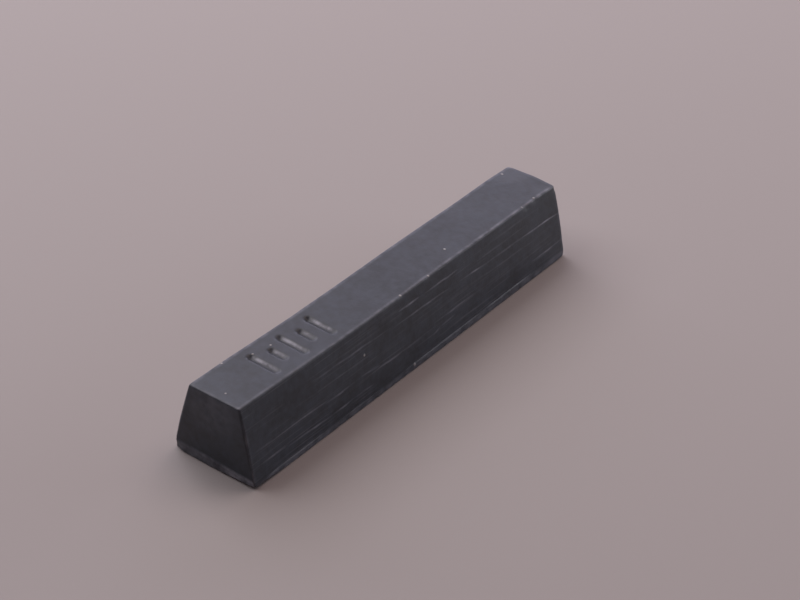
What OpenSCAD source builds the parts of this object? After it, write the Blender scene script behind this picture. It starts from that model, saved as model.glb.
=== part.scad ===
// Furniture repair wax stick: one bar of black filler wax, poured into an open mould and turned out.
// The narrow face lay on the mould's floor and carries the moulded ticks. The wide face was the open
// pour, and the stick lies on it. All four walls are drafted, so that the bar leaves the mould.
// X runs along the stick, with the marked end at -X. Y runs across it and Z is up.
// The origin is the middle of the base. Bar sizes are to the sharp corners, before rounding.

/* [Bar] */
// Length over the ends, at the base
bar_length = 80; // [60:0.5:110]
// Width of the base
base_width = 16; // [13:0.1:20]
// Width of the top face
top_width = 9.4; // [8:0.1:11.6]
// Height from the base to the top face
bar_height = 12.9; // [9:0.1:18]
// How far each end leans in between the base and the top face
end_lean = 0.25; // [0.1:0.05:1.5]

/* [Edges] */
// Rounding along the edges of the top face, where the mould's floor met its walls
top_edge_r = 0.6; // [0.2:0.05:0.8]
// Rounding under the base, where the molten wax drew back from the mould's walls
base_edge_r = 0.9; // [0.3:0.05:1.5]

/* [Ticks] */
// Number of ticks moulded into the top face
tick_count = 5; // [2:1:7]
// Distance from one tick to the next
tick_pitch = 3.2; // [2:0.1:4]
// Distance from the marked end's base edge to the first tick
tick_start = 11; // [4:0.5:20]
// Length of the first tick, and of every second one after it
long_tick = 5.8; // [4:0.1:6.4]
// Length of the ticks between
short_tick = 3.4; // [2:0.1:3.8]
// Width of a tick where it meets the top face
tick_width = 1.1; // [0.7:0.05:1.5]
// Depth of a tick at its middle
tick_depth = 0.4; // [0.2:0.05:0.6]

/* [Hidden] */

// Facets round a ball that rounds one corner of the bar
corner_facets = 32;
// Facets round a tick's cutter
tick_facets = 48;

// Angles inside the bar, between the base and a side and between the base and an end
side_angle = atan2(bar_height, (base_width - top_width) / 2);
end_angle = atan2(bar_height, end_lean);
top_length = bar_length - 2 * end_lean;

// Round cutter whose sunk part leaves a groove of the tick's width and depth
tick_r = (pow(tick_width / 2, 2) + pow(tick_depth, 2)) / (2 * tick_depth);

// How far back from a sharp corner the middle of an arc lies, measured along either wall
function setback(angle, r) = r / tan(angle / 2);

// Ball with a point at each pole, so that a flat laid over several balls keeps its exact height
module corner_ball(r) {
    rotate_extrude($fn = corner_facets)
        intersection() {
            circle(r, $fn = corner_facets);
            translate([0, -r]) square([r, 2 * r]);
        }
}

// Four balls that fit inside the corners of one level face of the bar, whose walls stand at these angles
module corner_balls(length, width, angle_at_end, angle_at_side, r) {
    x = length / 2 - setback(angle_at_end, r);
    y = width / 2 - setback(angle_at_side, r);
    for (x_side = [-1, 1], y_side = [-1, 1])
        translate([x_side * x, y_side * y, 0]) corner_ball(r);
}

// Bar with drafted walls and every edge rounded
module drafted_bar() {
    hull() {
        translate([0, 0, base_edge_r])
            corner_balls(bar_length, base_width, end_angle, side_angle, base_edge_r);
        translate([0, 0, bar_height - top_edge_r])
            corner_balls(top_length, top_width, 180 - end_angle, 180 - side_angle, top_edge_r);
    }
}

// Round-ended cutter for one tick, lying across the stick
module tick_cutter(length) {
    half_run = (length - tick_width) / 2;
    translate([0, 0, bar_height - tick_depth + tick_r]) {
        rotate([90, 0, 0]) cylinder(h = 2 * half_run, r = tick_r, center = true, $fn = tick_facets);
        for (side = [-1, 1])
            translate([0, side * half_run, 0]) sphere(tick_r, $fn = tick_facets);
    }
}

module wax_stick() {
    color("#2b2b2e")
    difference() {
        drafted_bar();
        for (i = [0 : tick_count - 1])
            translate([tick_start + i * tick_pitch - bar_length / 2, 0, 0])
                tick_cutter(i % 2 == 0 ? long_tick : short_tick);
    }
}

wax_stick();
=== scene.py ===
import math

import bmesh
import bpy
import numpy as np
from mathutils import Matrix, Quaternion, Vector, noise


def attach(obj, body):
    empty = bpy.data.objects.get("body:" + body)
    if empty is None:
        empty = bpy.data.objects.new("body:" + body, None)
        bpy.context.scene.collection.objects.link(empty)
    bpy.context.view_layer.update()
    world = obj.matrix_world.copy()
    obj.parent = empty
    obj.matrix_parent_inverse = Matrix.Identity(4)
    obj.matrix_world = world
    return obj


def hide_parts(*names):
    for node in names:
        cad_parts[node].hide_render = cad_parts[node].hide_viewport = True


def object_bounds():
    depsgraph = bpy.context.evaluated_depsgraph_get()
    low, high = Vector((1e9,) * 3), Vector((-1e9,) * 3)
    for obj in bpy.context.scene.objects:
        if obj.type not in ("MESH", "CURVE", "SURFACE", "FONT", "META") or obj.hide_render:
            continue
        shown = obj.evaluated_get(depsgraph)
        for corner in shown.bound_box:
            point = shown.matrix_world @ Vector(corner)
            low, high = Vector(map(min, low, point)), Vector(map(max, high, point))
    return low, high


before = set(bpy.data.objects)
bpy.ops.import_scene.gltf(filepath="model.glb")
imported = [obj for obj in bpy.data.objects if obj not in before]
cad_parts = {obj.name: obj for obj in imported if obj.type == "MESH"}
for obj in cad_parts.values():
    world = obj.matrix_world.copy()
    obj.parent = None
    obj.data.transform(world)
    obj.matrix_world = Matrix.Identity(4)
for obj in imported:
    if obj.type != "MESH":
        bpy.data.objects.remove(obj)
cad_low, cad_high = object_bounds()

# The wax stick is one bar of hard filler wax, dyed black, poured into an open mould and turned out.
# Its narrow face lay on the mould's floor, its wide face was the open pour, and its walls are drafted.
# The bar starts as a sharp drafted block, which is rounded and then cut into a fine grid for the marks.
MM = 0.001
BAR_LENGTH = 80 * MM
BASE_WIDTH = 15.68 * MM
TOP_WIDTH = 9.5 * MM
BAR_HEIGHT = cad_high.z
END_LEAN = 0.25 * MM
TOP_EDGE_R = 0.3 * MM
UPRIGHT_EDGE_R = 0.35 * MM
BASE_EDGE_R = 0.25 * MM
ROUNDING_STEPS = 6

# How finely the block's long edges are cut: along its length, where the ticks are, across, and up the walls,
# which are cut finer below FINE_TOP.
COARSE_STEP = 0.45 * MM
TICK_STEP = 0.14 * MM
ACROSS_CUTS = 50
FINE_TOP = 2 * MM
LOW_CUTS = 22
UPRIGHT_CUTS = 56
LONG_EDGE = 5 * MM

TICK_COUNT = 5
TICK_PITCH = 3.2 * MM
TICK_START = 11 * MM
TICK_LENGTHS = (5.8 * MM, 3.4 * MM)
TICK_WIDTH = 1.1 * MM
TICK_DEPTH = 0.4 * MM

# A face or a point is level where its normal points up or down by more than this share.
LEVEL = 0.9


def pick(kind, wanted):
    """Select only those corners, edges or faces of the mesh in edit mode that are wanted."""
    bpy.ops.mesh.select_mode(type=kind)
    bpy.ops.mesh.select_all(action="DESELECT")
    mesh = bmesh.from_edit_mesh(bpy.context.object.data)
    elements = {"VERT": mesh.verts, "EDGE": mesh.edges, "FACE": mesh.faces}[kind]
    for element in elements:
        if wanted(element):
            element.select_set(True)
    bmesh.update_edit_mesh(bpy.context.object.data)


def run_of(edge):
    """How far an edge runs along X, Y and Z."""
    run = edge.verts[1].co - edge.verts[0].co
    return Vector(map(abs, run))


def middle_of(edge):
    """The place half way along an edge."""
    return (edge.verts[0].co + edge.verts[1].co) / 2


bpy.ops.object.select_all(action="DESELECT")
bpy.ops.mesh.primitive_cube_add(size=1)
bar = bpy.context.object
bar.name = "cast_bar"
bpy.ops.object.mode_set(mode="EDIT")
bpy.ops.transform.resize(value=(BAR_LENGTH, BASE_WIDTH, BAR_HEIGHT))
bpy.ops.transform.translate(value=(0, 0, BAR_HEIGHT / 2))
pick("FACE", lambda face: face.normal.z > LEVEL)
bpy.ops.transform.resize(value=(1 - 2 * END_LEAN / BAR_LENGTH, TOP_WIDTH / BASE_WIDTH, 1))
bpy.ops.object.mode_set(mode="OBJECT")

# Each edge is rounded at its own radius. A setback is how far from the edge its rounding starts.
side_angle = math.atan2(BAR_HEIGHT, (BASE_WIDTH - TOP_WIDTH) / 2)
end_angle = math.atan2(BAR_HEIGHT, END_LEAN)
WIDEST_SETBACK = 2 * MM
setbacks = bar.data.attributes.new("bevel_weight_edge", "FLOAT", "EDGE")
for edge in bar.data.edges:
    ends = [bar.data.vertices[i].co for i in edge.vertices]
    run = ends[1] - ends[0]
    radius = UPRIGHT_EDGE_R
    angle = math.pi / 2
    if abs(run.z) < BAR_HEIGHT / 2:
        angle = side_angle if abs(run.x) > abs(run.y) else end_angle
        radius = BASE_EDGE_R
        if ends[0].z > BAR_HEIGHT / 2:
            angle = math.pi - angle
            radius = TOP_EDGE_R
    setbacks.data[edge.index].value = radius / math.tan(angle / 2) / WIDEST_SETBACK
rounding = bar.modifiers.new("rounding", "BEVEL")
rounding.limit_method = "WEIGHT"
rounding.width = WIDEST_SETBACK
rounding.segments = ROUNDING_STEPS
bpy.ops.object.modifier_apply(modifier=rounding.name)

tick_zone = (-BAR_LENGTH / 2 + TICK_START - TICK_WIDTH,
             -BAR_LENGTH / 2 + TICK_START + (TICK_COUNT - 1) * TICK_PITCH + TICK_WIDTH)
bpy.ops.object.mode_set(mode="EDIT")
for x in tick_zone:
    bpy.ops.mesh.select_all(action="SELECT")
    bpy.ops.mesh.bisect(plane_co=(x, 0, 0), plane_no=(1, 0, 0))
bpy.ops.mesh.select_all(action="SELECT")
bpy.ops.mesh.bisect(plane_co=(0, 0, FINE_TOP), plane_no=(0, 0, 1))
stretches = ((-BAR_LENGTH / 2, tick_zone[0], COARSE_STEP),
             (tick_zone[0], tick_zone[1], TICK_STEP),
             (tick_zone[1], BAR_LENGTH / 2, COARSE_STEP))
for near_x, far_x, step in stretches:
    pick("EDGE", lambda edge: run_of(edge).x > LONG_EDGE and near_x < middle_of(edge).x < far_x)
    bpy.ops.mesh.subdivide(number_cuts=round((far_x - near_x) / step) - 1)
pick("EDGE", lambda edge: run_of(edge).y > LONG_EDGE)
bpy.ops.mesh.subdivide(number_cuts=ACROSS_CUTS)
pick("EDGE", lambda edge: run_of(edge).z > LONG_EDGE)
bpy.ops.mesh.subdivide(number_cuts=UPRIGHT_CUTS)
pick("EDGE", lambda edge: run_of(edge).z > FINE_TOP / 2 and middle_of(edge).z < FINE_TOP)
bpy.ops.mesh.subdivide(number_cuts=LOW_CUTS)
bpy.ops.object.mode_set(mode="OBJECT")
bpy.ops.object.shade_smooth()

# Wax shrinks unevenly as it sets, so every face is a little wavy.
WAVE_SIZE = 9 * MM
WAVE_DEPTH = 0.12 * MM
casting = bpy.data.textures.new("casting", "CLOUDS")
casting.noise_scale = WAVE_SIZE
waviness = bar.modifiers.new("waviness", "DISPLACE")
waviness.texture = casting
waviness.texture_coords = "LOCAL"
waviness.strength = WAVE_DEPTH
waviness.mid_level = 1
bpy.ops.object.modifier_apply(modifier=waviness.name)


def eased(values, start, end):
    """0 as far as start, 1 from end on, with an eased climb between."""
    share = np.clip((values - start) / (end - start), 0, 1)
    return share * share * (3 - 2 * share)


def rounded_fall(distance, flat, reach):
    """1 as far as flat, 0 from reach on, with a rounded fall between."""
    return 1 - eased(distance, flat, reach)


def distance_to_line(points, start, end):
    """Distance of each point from the straight stretch between start and end."""
    along = np.subtract(end, start)
    share = np.clip((points - start) @ along / (along @ along), 0, 1)
    return np.linalg.norm(points - start - np.outer(share, along), axis=1)


def wall_y(z):
    """How far out from the middle plane a side wall stands at a height."""
    return (BASE_WIDTH + (TOP_WIDTH - BASE_WIDTH) * z / BAR_HEIGHT) / 2


# The bar's points and normals. x, y and z are views of the points, so a change to one of them moves these.
points = np.empty(len(bar.data.vertices) * 3)
bar.data.vertices.foreach_get("co", points)
points = points.reshape(-1, 3)
x, y, z = points.T
normals = np.empty(points.size)
bar.data.vertex_normals.foreach_get("vector", normals)
normals = normals.reshape(-1, 3)

# How pale each point is painted, from 1 where it is palest to 0 where it isn't, for the material to read.
# This is
# partly wear and partly painted light: painted highlights on the rounded edges, and painted light where edges
# lie in shade near the floor. The top edges are pale on their upper side, the one at -Y most of all at the
# far end, and the upright ones on the side wall's side, most of all low down. A turn is the share of the
# normal that points across, along or up, first where a mark starts and then where it is full.
PALE_EDGE_FLAT = 0.1 * MM
PALE_EDGE_REACH = 0.45 * MM
TOP_WEAR_AND_HIGHLIGHT = 0.21
TOP_WEAR_AND_HIGHLIGHT_SLANT = 0.45
TOP_WEAR_AND_HIGHLIGHT_INSET = 0.3 * MM
END_TOP_WEAR_AND_HIGHLIGHT = 0.1
UPRIGHT_WEAR_AND_HIGHLIGHT = 0.36
UPRIGHT_WEAR_AND_HIGHLIGHT_FADE = 0.8
UPRIGHT_TURN = (0.6, 0.85)
BASE_WEAR_AND_PAINTED_LIGHT = 0.25
rings = []
for corner_z in (0, BAR_HEIGHT):
    inset = TOP_WEAR_AND_HIGHLIGHT_INSET * corner_z / BAR_HEIGHT
    corner_x = BAR_LENGTH / 2 - END_LEAN * corner_z / BAR_HEIGHT - inset
    corner_y = wall_y(corner_z) - inset
    rings.append([(side_x * corner_x, side_y * corner_y, corner_z)
                  for side_x, side_y in ((-1, -1), (1, -1), (1, 1), (-1, 1))])
base_ring, top_ring = rings
upright_share = eased(np.abs(normals[:, 1]), *UPRIGHT_TURN)
# The upright edges: wear and painted highlight, most of all low down.
upright_wear_and_highlight = UPRIGHT_WEAR_AND_HIGHLIGHT * upright_share * (1 - UPRIGHT_WEAR_AND_HIGHLIGHT_FADE * z / BAR_HEIGHT)
# The top edges: wear and painted highlight, strongest at the far end of the one at -Y.
side_wear_and_highlight = TOP_WEAR_AND_HIGHLIGHT * (1 + TOP_WEAR_AND_HIGHLIGHT_SLANT * np.where(y < 0, 2 * x / BAR_LENGTH, 0))
wear_and_painted_light = 0 * z
# Each edge is painted pale near its line; on the base edges this is wear and painted light against the shade
# near the floor.
for i in range(4):
    after = (i + 1) % 4
    top_wear_and_highlight = (side_wear_and_highlight, END_TOP_WEAR_AND_HIGHLIGHT)[i % 2]
    for start, end, paleness in ((base_ring[i], base_ring[after], BASE_WEAR_AND_PAINTED_LIGHT),
                             (top_ring[i], top_ring[after], top_wear_and_highlight),
                             (base_ring[i], top_ring[i], upright_wear_and_highlight)):
        distance = distance_to_line(points, start, end)
        wear_and_painted_light = np.maximum(wear_and_painted_light, paleness * rounded_fall(distance, PALE_EDGE_FLAT, PALE_EDGE_REACH))

# The top has sunk most at a third of its length from the marked end, and both ends of it lean to one side.
# The marked end is slightly askew and leans in at the top. The side walls stand out a little at half their
# height.
TOP_SINK = 0.26 * MM
SINK_MIDDLE = -16 * MM
SINK_END = 10 * MM
END_SKEW = 0.25 * MM
SKEW_REACH = 15 * MM
MARKED_END_LEAN = 0.2 * MM
TOP_LEAN = 0.22 * MM
WALL_BULGE = 0.12 * MM
WALL_TURN = (0.8, 0.9)
on_wall = eased(np.abs(normals[:, 1]), *WALL_TURN)
y += WALL_BULGE * np.sign(y) * on_wall * 4 * (z / BAR_HEIGHT) * (1 - z / BAR_HEIGHT)
sink = eased(x, -BAR_LENGTH / 2, SINK_MIDDLE) * (1 - eased(x, SINK_MIDDLE, SINK_END))
z -= TOP_SINK * sink * z / BAR_HEIGHT
skew = 1 - eased(x, -BAR_LENGTH / 2, -BAR_LENGTH / 2 + SKEW_REACH)
y += TOP_LEAN * (2 * x / BAR_LENGTH) ** 2 * z / BAR_HEIGHT
x += skew * (END_SKEW * (1 - 2 * y / BASE_WIDTH) / 2 + MARKED_END_LEAN * z / BAR_HEIGHT)

# The base is drawn up at one corner, and the top droops at three. Each has a place, reach and rise in mm.
DRAWN_CORNERS = (
    (-39.9, -7.8, 0, 9, 0.4),
    (39.5, -4.7, 12.9, 5, -0.22),
    (39.5, 4.7, 12.9, 6, -0.2),
    (-39.6, 4.9, 12.9, 11, -0.16),
)
for *place, reach, rise in DRAWN_CORNERS:
    distance = np.linalg.norm(points - np.array(place) * MM, axis=1)
    z += rise * MM * rounded_fall(distance, 0, reach * MM)

# The wax drew back from the mould above a low bead, which runs round the bar just over its base. The bead
# isn't level, fades out in places, and is higher and softer across the ends.
BEAD_HEIGHT = 0.95 * MM
BEAD_TILT = 0.25 * MM
BEAD_FLANK = 0.25 * MM
BEAD_END_RISE = 0.4 * MM
BEAD_END_FLANK = 0.6 * MM
DRAWN_IN = 0.07 * MM
DRAWN_IN_TOP = 6 * MM
BEAD_PATCH = 8 * MM
BEAD_PATCH_SHIFT = (0, 0, 11.5)
BEAD_PATCH_FADE = (-0.3, 0.3)
BEAD_WEAR_AND_PAINTED_LIGHT = 0.24
BEAD_END_WEAR_AND_PAINTED_LIGHT = 0.34
BEAD_PAINTED_LIGHT_SLANT = 0.75
FOOT_PAINTED_LIGHT = 0.18
END_TURN = (0.5, 0.9)
on_end = eased(np.abs(normals[:, 0]), *END_TURN)
bead = BEAD_HEIGHT - BEAD_TILT * (2 * x / BAR_LENGTH) * (2 * y / BASE_WIDTH) + BEAD_END_RISE * on_end
flank = BEAD_FLANK + (BEAD_END_FLANK - BEAD_FLANK) * on_end
patch_places = points * (1, 1, 0) / BEAD_PATCH + BEAD_PATCH_SHIFT
patchiness = np.array([noise.noise(Vector(place)) for place in patch_places])
bead_share = np.maximum(eased(patchiness, *BEAD_PATCH_FADE), on_end)
# Wear and painted light: the bead is painted paler, partly as wear and partly against the shade low on the
# walls, and across the ends more so towards -Y, which the lamps leave darker.
end_wear_and_painted_light = BEAD_END_WEAR_AND_PAINTED_LIGHT * (1 - BEAD_PAINTED_LIGHT_SLANT * 2 * y / BASE_WIDTH)
bead_wear_and_painted_light = BEAD_WEAR_AND_PAINTED_LIGHT + (end_wear_and_painted_light - BEAD_WEAR_AND_PAINTED_LIGHT) * on_end
wear_and_painted_light = np.maximum(wear_and_painted_light, bead_wear_and_painted_light * bead_share * rounded_fall(np.abs(z - bead), 0, flank))
# Painted light: the foot below the bead is painted paler against the shade near the floor.
foot_painted_light = FOOT_PAINTED_LIGHT + (end_wear_and_painted_light - FOOT_PAINTED_LIGHT) * on_end
foot_light_share = rounded_fall(z, bead - flank, bead + flank) * (normals[:, 2] > -LEVEL)
wear_and_painted_light = np.maximum(wear_and_painted_light, foot_painted_light * foot_light_share)
drawn_in = bead_share * eased(z, bead, bead + flank) * rounded_fall(z, bead + flank, DRAWN_IN_TOP)
points -= DRAWN_IN * drawn_in[:, None] * normals * (1, 1, 0)

# The open pour sank in the middle as it set, which leaves the stick standing on the rim of its base. Across
# and along, it is deepest as far as the first share of the base's half and level again from the second.
POUR_SINK = 0.25 * MM
POUR_ACROSS = (0, 0.9)
POUR_ALONG = (0.7, 0.98)
pour = rounded_fall(np.abs(2 * y / BASE_WIDTH), *POUR_ACROSS)
pour *= rounded_fall(np.abs(2 * x / BAR_LENGTH), *POUR_ALONG)
z += POUR_SINK * pour * (normals[:, 2] < -LEVEL)

# The marked end is painted paler, most of all near its top: painted light where the lamps leave it too dark.
# A top edge is painted pale at both its ends, partly wear and partly painted highlight. Each pale stretch
# runs from one place to another, in mm.
MARKED_END_PAINTED_LIGHT = 0.09
MARKED_END_LIGHT_PLACE = (-40 * MM, 1 * MM, 11 * MM)
MARKED_END_LIGHT_FLAT = 1.5 * MM
MARKED_END_LIGHT_REACH = 7 * MM
distance = np.linalg.norm(points - MARKED_END_LIGHT_PLACE, axis=1)
wear_and_painted_light = np.maximum(wear_and_painted_light, MARKED_END_PAINTED_LIGHT * on_end * rounded_fall(distance, MARKED_END_LIGHT_FLAT, MARKED_END_LIGHT_REACH))
RUBBED_AND_HIGHLIT = 0.3
RUBBED_AND_HIGHLIT_LINES = (
    ((33, -4.7, 12.8), (39.6, -4.9, 12.5)),
    ((-39.4, -4.1, 12.8), (-39.3, -4.5, 12.7)),
)
RUBBED_AND_HIGHLIT_FLAT = 0.2 * MM
RUBBED_AND_HIGHLIT_REACH = 0.8 * MM
RUBBED_AND_HIGHLIT_TURN = (0.3, 0.5)
facing_up = eased(normals[:, 2], *RUBBED_AND_HIGHLIT_TURN)
# Wear and painted highlight on each stretch, where it faces up.
for start, end in RUBBED_AND_HIGHLIT_LINES:
    distance = distance_to_line(points, np.array(start) * MM, np.array(end) * MM)
    wear_and_painted_light = np.maximum(wear_and_painted_light, RUBBED_AND_HIGHLIT * facing_up * rounded_fall(distance, RUBBED_AND_HIGHLIT_FLAT, RUBBED_AND_HIGHLIT_REACH))

# Knocks have rounded some corners and nicked the edges. Each has a place, a reach and a depth, in mm.
KNOCKS = (
    (39.7, -4.9, 12.4, 1.1, 0.2),
    (39.7, 4.8, 12.9, 1.0, 0.16),
    (-39.7, 4.8, 12.9, 1.0, 0.2),
    (-39.9, 7.7, 0.1, 2.2, 0.45),
    (-39.9, -7.7, 0.4, 1.2, 0.2),
    (39.9, -7.7, 0.1, 1.3, 0.2),
    (39.8, 7.6, 0.5, 1.6, 0.25),
    (31.0, -4.7, 12.8, 1.1, 0.16),
    (33.6, -4.7, 12.8, 0.9, 0.12),
    (4.4, -4.7, 12.8, 0.9, 0.1),
    (-2.4, -4.7, 12.8, 0.9, 0.12),
    (-21.0, 7.8, 0.6, 1.4, 0.15),
    (9.0, 7.8, 0.6, 1.2, 0.12),
)
for *place, reach, depth in KNOCKS:
    distance = np.linalg.norm(points - np.array(place) * MM, axis=1)
    dent = rounded_fall(distance, 0, reach * MM)
    push = dent @ normals
    points -= depth * MM * np.outer(dent, push / np.linalg.norm(push))

# Sliding in and out of its tray has scored lines along both walls. Each runs from one x and z to another,
# in mm, as seen on the wall at -Y, and has a strength. The other wall has them upside down.
DRAG_LINES = (
    (-4.0, 10.78, 2.0, 10.72, 0.65),
    (2.0, 10.75, 12.0, 10.65, 0.36),
    (-26.0, 9.65, -5.0, 9.1, 0.2),
    (-5.0, 8.98, 9.5, 8.75, 0.32),
    (11.0, 8.68, 19.0, 8.5, 0.4),
    (17.0, 8.5, 30.0, 8.25, 0.19),
    (28.0, 8.3, 39.9, 7.9, 0.65),
    (-38.6, 5.55, -34.0, 5.5, 0.13),
    (-34.5, 5.5, -21.0, 5.28, 0.24),
    (-23.0, 5.1, -15.0, 4.95, 0.2),
    (-14.5, 5.15, -9.5, 4.75, 0.2),
    (-11.0, 4.55, -4.0, 4.3, 0.2),
    (-5.0, 4.35, 1.0, 4.3, 0.14),
    (3.5, 5.07, 17.0, 4.97, 0.24),
    (-37.8, 3.22, -31.0, 3.12, 0.22),
    (-32.0, 2.88, -21.0, 2.68, 0.43),
    (-22.0, 2.68, -16.0, 2.64, 0.32),
    (-17.0, 2.65, -11.0, 2.55, 0.14),
    (3.0, 3.2, 5.5, 3.9, 0.22),
    (5.0, 3.85, 9.5, 4.0, 0.22),
    (29.5, 3.2, 39.7, 3.14, 0.54),
    (6.0, 2.7, 22.0, 2.4, 0.11),
    (14.0, 9.9, 31.0, 9.75, 0.11),
    (18.0, 11.2, 36.0, 11.1, 0.11),
    (12.0, 6.9, 36.0, 6.4, 0.09),
    (-30.0, 7.7, -8.0, 7.3, 0.09),
)
SCORE_DEPTH = 0.04 * MM
SCORE_REACH = 0.3 * MM
wall_places = np.column_stack((x, 0 * y, np.where(y < 0, z, BAR_HEIGHT - z)))
for start_x, start_z, end_x, end_z, strength in DRAG_LINES:
    start, end = np.array(((start_x, 0, start_z), (end_x, 0, end_z))) * MM
    score = rounded_fall(distance_to_line(wall_places, start, end), 0, SCORE_REACH)
    points -= SCORE_DEPTH * strength * (on_wall * score)[:, None] * normals

# The ticks are round-bottomed grooves that the mould's floor left across the top face near one end. Their
# far walls are painted pale half way down: a painted highlight, where those walls face the light.
TICK_RIM = 0.3 * MM
TICK_WALL_HIGHLIGHT = 1.15
ticked = 0 * z
painted_tick_highlight = 0 * z
top_places = points * (1, 1, 0) + (0, 0, BAR_HEIGHT) * (normals[:, 2:] > 0)
for i in range(TICK_COUNT):
    tick_x = -BAR_LENGTH / 2 + TICK_START + i * TICK_PITCH
    half_run = (TICK_LENGTHS[i % 2] - TICK_WIDTH) / 2
    distance = distance_to_line(top_places, (tick_x, -half_run, BAR_HEIGHT), (tick_x, half_run, BAR_HEIGHT))
    tick = rounded_fall(distance, 0, TICK_WIDTH / 2 + TICK_RIM)
    ticked = np.maximum(ticked, tick)
    within = rounded_fall(np.abs(y), half_run - TICK_WIDTH, half_run + TICK_WIDTH / 2)
    far_wall_highlight = (4 * tick * (1 - tick)) ** 2 * eased(x, tick_x, tick_x + TICK_WIDTH / 4)
    painted_tick_highlight = np.maximum(painted_tick_highlight, within * far_wall_highlight)
z -= TICK_DEPTH * ticked
# The painted highlight of the far walls joins the pale share.
wear_and_painted_light = np.maximum(wear_and_painted_light, TICK_WALL_HIGHLIGHT * painted_tick_highlight)

# No mark stands out past the solid.
points[:] = np.clip(points, cad_low, cad_high)
bar.data.vertices.foreach_set("co", points.ravel())
bar.data.update()

bar.data.attributes.new("wear_and_painted_light", "FLOAT", "POINT").data.foreach_set("value", wear_and_painted_light)
bar.data.attributes.new("side_wall", "FLOAT", "POINT").data.foreach_set("value", on_wall)

# Cast black wax: filler wax full of soot-black dye, set against a smooth mould. To the eye it is a dark,
# slightly blue grey with a satin sheen, clouded by a thin haze, with paler scored lines and rubbed edges, and
# with painted highlights and painted light laid in as pale colour.
# Sizes and heights are in mm. Edges are two values of a noise, between which a mark comes in, and a spread
# is two such values with the share at each of them.
WAX_DARK = "#2b2f36"
WAX_HAZED = "#393f49"
WAX_SCUFFED = "#6a6a70"
WAX_RUBBED_AND_HIGHLIT = "#a4a6b2"
WAX_CRUMB_AND_GLINT = "#b9b6b4"
WAX_IOR = 1.44
SATIN_ROUGHNESS = (0.38, 0.47)
SCUFF_ROUGHNESS = 0.15
HAZE_SIZE = 7
CLOUD_EDGES = (0.75, 1.25)
MOTTLE_SIZE = 1.2
MOTTLE_HEIGHT = 0.02
GRAIN_SIZE = 0.25
GRAIN_HEIGHT = 0.006
HAIRLINE_SIZES = (20, 20, 0.28)
HAIRLINE_EDGES = (0.54, 0.74)
HAIRLINE_SPREAD = (0.35, 0.65, 0, 0.45)
HAIRLINE_HEIGHT = 0.006
LINE_WIDTH = 0.22
LINE_EDGE = 0.8
LINE_BREAKS = 3
LINE_SPREAD = (0.36, 0.62, 0.35, 1.3)
LINE_HEIGHT = 0.015
LINE_WANDER = 0.4
WANDER_SIZE = 5
RUB_SIZE = 1.6
WEAR_AND_LIGHT_SPREAD = (0.35, 0.65, 0.2, 1.2)
RUB_HEIGHT = 0.02
SPECK_HEIGHT = 0.08

# The inputs of a Map Range node, which a spread fills in
RANGE = ("From Min", "From Max", "To Min", "To Max")


def linear(hex_colour):
    """An sRGB hex colour as linear red, green, blue and alpha."""
    shares = [int(hex_colour[i:i + 2], 16) / 255 for i in (1, 3, 5)]
    return [s / 12.92 if s <= 0.04045 else ((s + 0.055) / 1.055) ** 2.4 for s in shares] + [1]


def add_node(material, kind, inputs=None, **settings):
    """Add a node with its settings, and link or set each input that is named or numbered."""
    node = material.node_tree.nodes.new(kind)
    for name, value in settings.items():
        setattr(node, name, value)
    for name, value in (inputs or {}).items():
        if isinstance(value, bpy.types.NodeSocket):
            material.node_tree.links.new(value, node.inputs[name])
        else:
            node.inputs[name].default_value = value
    return node


wax = bpy.data.materials.new("cast black wax")
wax.use_nodes = True
metres = add_node(wax, "ShaderNodeTexCoord").outputs["Object"]
place_mm = add_node(wax, "ShaderNodeVectorMath", {0: metres, "Scale": 1 / MM}, operation="SCALE").outputs[0]
axes = add_node(wax, "ShaderNodeSeparateXYZ", {0: place_mm})

# Broad haze, finer mottling and a close grain
haze = add_node(wax, "ShaderNodeTexNoise", {"Vector": place_mm, "Scale": 1 / HAZE_SIZE, "Detail": 4})
mottle = add_node(wax, "ShaderNodeTexNoise", {"Vector": place_mm, "Scale": 1 / MOTTLE_SIZE, "Detail": 3})
grain = add_node(wax, "ShaderNodeTexNoise", {"Vector": place_mm, "Scale": 1 / GRAIN_SIZE, "Detail": 2})

# Hairlines along the side walls, which come and go
stretched = add_node(wax, "ShaderNodeMapping", {"Vector": place_mm, "Scale": [1 / s for s in HAIRLINE_SIZES]})
hairs = add_node(wax, "ShaderNodeTexNoise", {"Vector": stretched.outputs[0], "Scale": 1, "Detail": 2})
side_wall = add_node(wax, "ShaderNodeAttribute", attribute_name="side_wall")
hair_patches = add_node(wax, "ShaderNodeMapRange", {
    "Value": haze.outputs["Fac"],
    **dict(zip(RANGE, HAIRLINE_SPREAD)),
})
strongest = add_node(wax, "ShaderNodeMath", {0: side_wall.outputs["Fac"], 1: hair_patches.outputs[0]},
                     operation="MULTIPLY")
hairlines = add_node(wax, "ShaderNodeMapRange", {
    "Value": hairs.outputs["Fac"],
    **dict(zip(RANGE, (*HAIRLINE_EDGES, 0, strongest.outputs[0]))),
})

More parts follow.
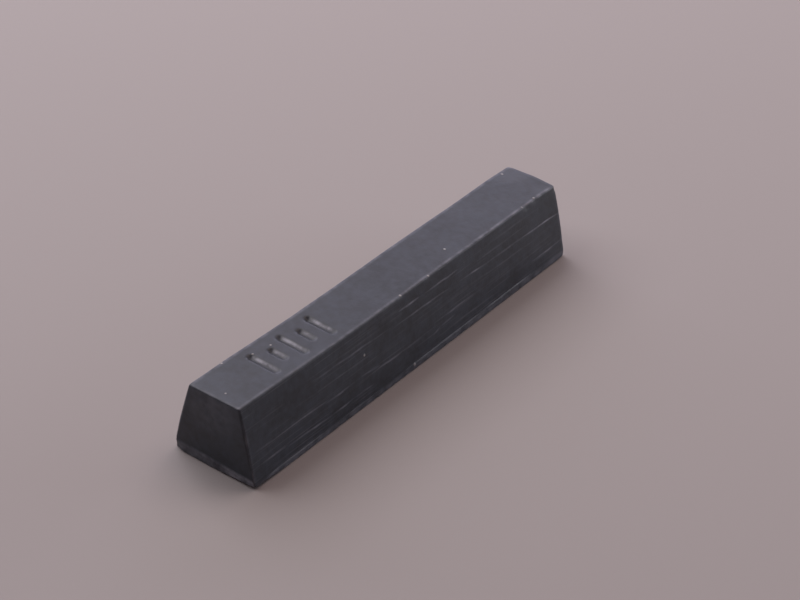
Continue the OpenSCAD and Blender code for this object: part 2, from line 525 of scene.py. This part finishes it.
# The scored lines, each drawn where it was cut, measured along the bar and up the wall at -Y
turned = add_node(wax, "ShaderNodeMath", {0: axes.outputs["Y"], 1: -1}, operation="MULTIPLY")
facing = add_node(wax, "ShaderNodeMath", {0: turned.outputs[0]}, operation="SIGN")
half_height = BAR_HEIGHT / MM / 2
over_middle = add_node(wax, "ShaderNodeMath", {0: axes.outputs["Z"], 1: half_height}, operation="SUBTRACT")
up_wall = add_node(wax, "ShaderNodeMath", {0: over_middle.outputs[0], 1: facing.outputs[0], 2: half_height},
                   operation="MULTIPLY_ADD")
wander = add_node(wax, "ShaderNodeTexNoise", {"Vector": place_mm, "Scale": 1 / WANDER_SIZE, "Detail": 2})
wandered = add_node(wax, "ShaderNodeMath", {0: wander.outputs["Fac"], 1: LINE_WANDER, 2: up_wall.outputs[0]},
                    operation="MULTIPLY_ADD")
wall_place = add_node(wax, "ShaderNodeCombineXYZ", {"X": axes.outputs["X"], "Z": wandered.outputs[0]})
scored = None
for start_x, start_z, end_x, end_z, strength in DRAG_LINES:
    laid = add_node(wax, "ShaderNodeMapping", {
        "Vector": wall_place.outputs[0],
        "Location": ((start_x + end_x) / 2, 0, (start_z + end_z + LINE_WANDER) / 2),
        "Rotation": (0, -math.atan2(end_z - start_z, end_x - start_x), 0),
        "Scale": (math.dist((start_x, start_z), (end_x, end_z)) / 2, 1, LINE_WIDTH),
    }, vector_type="TEXTURE")
    line = add_node(wax, "ShaderNodeTexGradient", {0: laid.outputs[0]}, gradient_type="SPHERICAL")
    line_share = add_node(wax, "ShaderNodeMapRange", {
        "Value": line.outputs["Fac"],
        **dict(zip(RANGE, (0, LINE_EDGE, 0, strength))),
    })
    if scored:
        scored = add_node(wax, "ShaderNodeMath", {0: scored.outputs[0], 1: line_share.outputs[0]},
                          operation="MAXIMUM")
    else:
        scored = line_share
breaks = add_node(wax, "ShaderNodeTexNoise", {"Vector": place_mm, "Scale": 1 / LINE_BREAKS, "Detail": 4})
unbroken = add_node(wax, "ShaderNodeMapRange", {
    "Value": breaks.outputs["Fac"],
    **dict(zip(RANGE, LINE_SPREAD)),
})
lines = add_node(wax, "ShaderNodeMath", {0: scored.outputs[0], 1: unbroken.outputs[0]}, operation="MULTIPLY",
                 use_clamp=True)

# Wear and painted light in patches: rubbed edges, painted highlights on edges and tick walls, and painted
# light low on the walls
wear_and_light_attribute = add_node(wax, "ShaderNodeAttribute", attribute_name="wear_and_painted_light")
rubs = add_node(wax, "ShaderNodeTexNoise", {"Vector": place_mm, "Scale": 1 / RUB_SIZE, "Detail": 4})
wear_and_light_patches = add_node(wax, "ShaderNodeMapRange", {"Value": rubs.outputs["Fac"], **dict(zip(RANGE, WEAR_AND_LIGHT_SPREAD))})
wear_and_light_share = add_node(wax, "ShaderNodeMath", {0: wear_and_light_attribute.outputs["Fac"], 1: wear_and_light_patches.outputs[0]},
                  operation="MULTIPLY")

# Pale specks, each with a place and a size in mm: crumbs of wax pressed into the surface, and at some places
# painted glints
CRUMBS_AND_GLINTS = (
    (-37.6, -0.5, 12.8, 0.22),
    (12.0, -2.1, 12.8, 0.28),
    (-2.4, -4.4, 12.7, 0.3),
    (4.5, -4.5, 12.7, 0.24),
    (30.2, -4.3, 12.7, 0.25),
    (33.9, -4.1, 12.7, 0.28),
    (36.6, 4.1, 12.7, 0.3),
    (-32.8, 4.6, 12.75, 0.28),
    (-28.2, 2.7, 12.7, 0.22),
    (-24.8, 2.2, 12.66, 0.22),
    (-12.8, -6.0, 8.0, 0.3),
    (-2.0, -7.7, 0.9, 0.35),
    (21.0, 6.2, 7.0, 0.28),
    (-18.0, 7.0, 3.6, 0.25),
    (39.8, 2.0, 6.0, 0.28),
    (-6.0, 2.0, 0.2, 0.4),
)
crumbs_and_glints = None
for *speck_place, speck_size in CRUMBS_AND_GLINTS:
    distance = add_node(wax, "ShaderNodeVectorMath", {0: place_mm, 1: speck_place}, operation="DISTANCE")
    speck = add_node(wax, "ShaderNodeMapRange", {
        "Value": distance.outputs["Value"],
        **dict(zip(RANGE, (0, speck_size, 1, 0))),
    })
    if crumbs_and_glints:
        crumbs_and_glints = add_node(wax, "ShaderNodeMath", {0: crumbs_and_glints.outputs[0], 1: speck.outputs[0]},
                          operation="MAXIMUM")
    else:
        crumbs_and_glints = speck

# The colours, one laid over the other, and the loss of sheen where the wax is clouded or scuffed
clouding = add_node(wax, "ShaderNodeMath", {0: haze.outputs["Fac"], 1: mottle.outputs["Fac"]},
                    operation="ADD")
cloud_share = add_node(wax, "ShaderNodeMapRange", {
    "Value": clouding.outputs[0],
    **dict(zip(RANGE, (*CLOUD_EDGES, 0, 1))),
})
COLOURS = {"factor": 0, "first": 6, "second": 7, "mixed": 2}
colour = None
# The pale tint serves the scored lines and also the wear and painted light.
for share, tint in ((cloud_share.outputs[0], WAX_HAZED), (hairlines.outputs[0], WAX_SCUFFED),
                    (lines.outputs[0], WAX_RUBBED_AND_HIGHLIT), (wear_and_light_share.outputs[0], WAX_RUBBED_AND_HIGHLIT),
                    (crumbs_and_glints.outputs[0], WAX_CRUMB_AND_GLINT)):
    colour = add_node(wax, "ShaderNodeMix", {
        COLOURS["factor"]: share,
        COLOURS["first"]: colour.outputs[COLOURS["mixed"]] if colour else linear(WAX_DARK),
        COLOURS["second"]: linear(tint),
    }, data_type="RGBA")

sheen_loss = add_node(wax, "ShaderNodeMapRange", {
    "Value": clouding.outputs[0],
    **dict(zip(RANGE, CLOUD_EDGES + SATIN_ROUGHNESS)),
})
scuffing = add_node(wax, "ShaderNodeMath", {0: lines.outputs[0], 1: crumbs_and_glints.outputs[0]}, operation="MAXIMUM")
roughness = add_node(wax, "ShaderNodeMath", {
    0: scuffing.outputs[0],
    1: SCUFF_ROUGHNESS,
    2: sheen_loss.outputs[0],
}, operation="MULTIPLY_ADD")

# The fine relief: all heights added up for the bump
height = None
for mark, tallness in ((mottle.outputs["Fac"], MOTTLE_HEIGHT), (grain.outputs["Fac"], GRAIN_HEIGHT),
                       (hairlines.outputs[0], HAIRLINE_HEIGHT), (lines.outputs[0], LINE_HEIGHT),
                       (rubs.outputs["Fac"], RUB_HEIGHT), (crumbs_and_glints.outputs[0], SPECK_HEIGHT)):
    height = add_node(wax, "ShaderNodeMath", {0: mark, 1: tallness, 2: height.outputs[0] if height else 0},
                      operation="MULTIPLY_ADD")
relief = add_node(wax, "ShaderNodeBump", {"Height": height.outputs[0], "Distance": MM})
shader = wax.node_tree.nodes["Principled BSDF"]
shader.inputs["IOR"].default_value = WAX_IOR
wax.node_tree.links.new(colour.outputs[COLOURS["mixed"]], shader.inputs["Base Color"])
wax.node_tree.links.new(roughness.outputs[0], shader.inputs["Roughness"])
wax.node_tree.links.new(relief.outputs[0], shader.inputs["Normal"])
bar.data.materials.append(wax)

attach(bar, "root")
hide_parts("wax_stick")

# The floor is a plain pale sheet that the stick stands on, and it isn't part of the object. Its paper is
# uncoated, so it looks matt, with hardly any sheen.
FLOOR_SIZE = 3
PAPER = "#aaa4a3"
PAPER_ROUGHNESS = 0.8
PAPER_SHEEN = 0.2
bpy.ops.object.select_all(action="DESELECT")
bpy.ops.mesh.primitive_plane_add(size=FLOOR_SIZE)
floor = bpy.context.object
floor.name = "floor"
paper = bpy.data.materials.new("pale matt paper")
paper.use_nodes = True
paper_shader = paper.node_tree.nodes["Principled BSDF"]
paper_shader.inputs["Base Color"].default_value = linear(PAPER)
paper_shader.inputs["Roughness"].default_value = PAPER_ROUGHNESS
paper_shader.inputs["Specular IOR Level"].default_value = PAPER_SHEEN
floor.data.materials.append(paper)

# The light is soft and nearly neutral: a large window behind on the left, a lower and wider one straight
# behind, a panel high beyond the far end and a small low window on the right. The rest of the room is dim.
# Each lamp has an azimuth and elevation in degrees, a width and height in metres, a radiance and a colour.
# The radiance times pi and the area is its power.
LAMP_DISTANCE = 0.7
ROOM_COLOUR = "#3f3034"
LAMPS = (
    ("window", 95, 50, 0.85, 0.5, 2.83, "#fff9fb"),
    ("low_window", 48, 20, 1.2, 0.36, 2.23, "#ebe6fb"),
    ("far_panel", 350, 62, 0.5, 0.4, 2.1, "#ffe8e0"),
    ("right_window", 330, 11, 0.65, 0.26, 3.5, "#f0f2fc"),
)
for name, azimuth, elevation, wide, tall, radiance, tint in LAMPS:
    lamp = bpy.data.lights.new(name, "AREA")
    lamp.shape = "RECTANGLE"
    lamp.size = wide
    lamp.size_y = tall
    lamp.energy = radiance * math.pi * wide * tall
    lamp.color = linear(tint)[:3]
    holder = bpy.data.objects.new(name, lamp)
    bpy.context.collection.objects.link(holder)
    level = math.cos(math.radians(elevation))
    direction = Vector((math.cos(math.radians(azimuth)) * level, math.sin(math.radians(azimuth)) * level,
                        math.sin(math.radians(elevation))))
    holder.location = direction * LAMP_DISTANCE
    holder.rotation_euler = direction.to_track_quat("Z", "Y").to_euler()
    holder.visible_camera = False
room = bpy.context.scene.world or bpy.data.worlds.new("room")
bpy.context.scene.world = room
room.use_nodes = True
room.node_tree.nodes["Background"].inputs["Color"].default_value = linear(ROOM_COLOUR)
room.node_tree.nodes["Background"].inputs["Strength"].default_value = 1

# The camera stands where the photograph was taken from, beyond the marked end and on the side of the wall
# at -Y. It looks down on the stick through a long lens and is slightly rolled.
VIEW_AZIMUTH = math.radians(-54.29)
VIEW_ELEVATION = math.radians(35.4)
VIEW_ROLL = math.radians(3.23)
VIEW_DISTANCE = 301.2 * MM
LENS_MM = 86.46
SENSOR_MM = 36
NEAREST = 1 * MM
VIEW_AIM = Vector((3.73 * MM, 0, BAR_HEIGHT / 2))
back = Vector((math.sin(VIEW_AZIMUTH) * math.cos(VIEW_ELEVATION),
               -math.cos(VIEW_AZIMUTH) * math.cos(VIEW_ELEVATION),
               math.sin(VIEW_ELEVATION)))
camera = bpy.data.objects.new("camera", bpy.data.cameras.new("camera"))
bpy.context.collection.objects.link(camera)
camera.data.lens = LENS_MM
camera.data.sensor_width = SENSOR_MM
camera.data.clip_start = NEAREST
camera.location = VIEW_AIM + back * VIEW_DISTANCE
turn = back.to_track_quat("Z", "Y") @ Quaternion((0, 0, 1), VIEW_ROLL)
camera.rotation_euler = turn.to_euler()
bpy.context.scene.camera = camera
bpy.context.scene.view_settings.view_transform = "Standard"
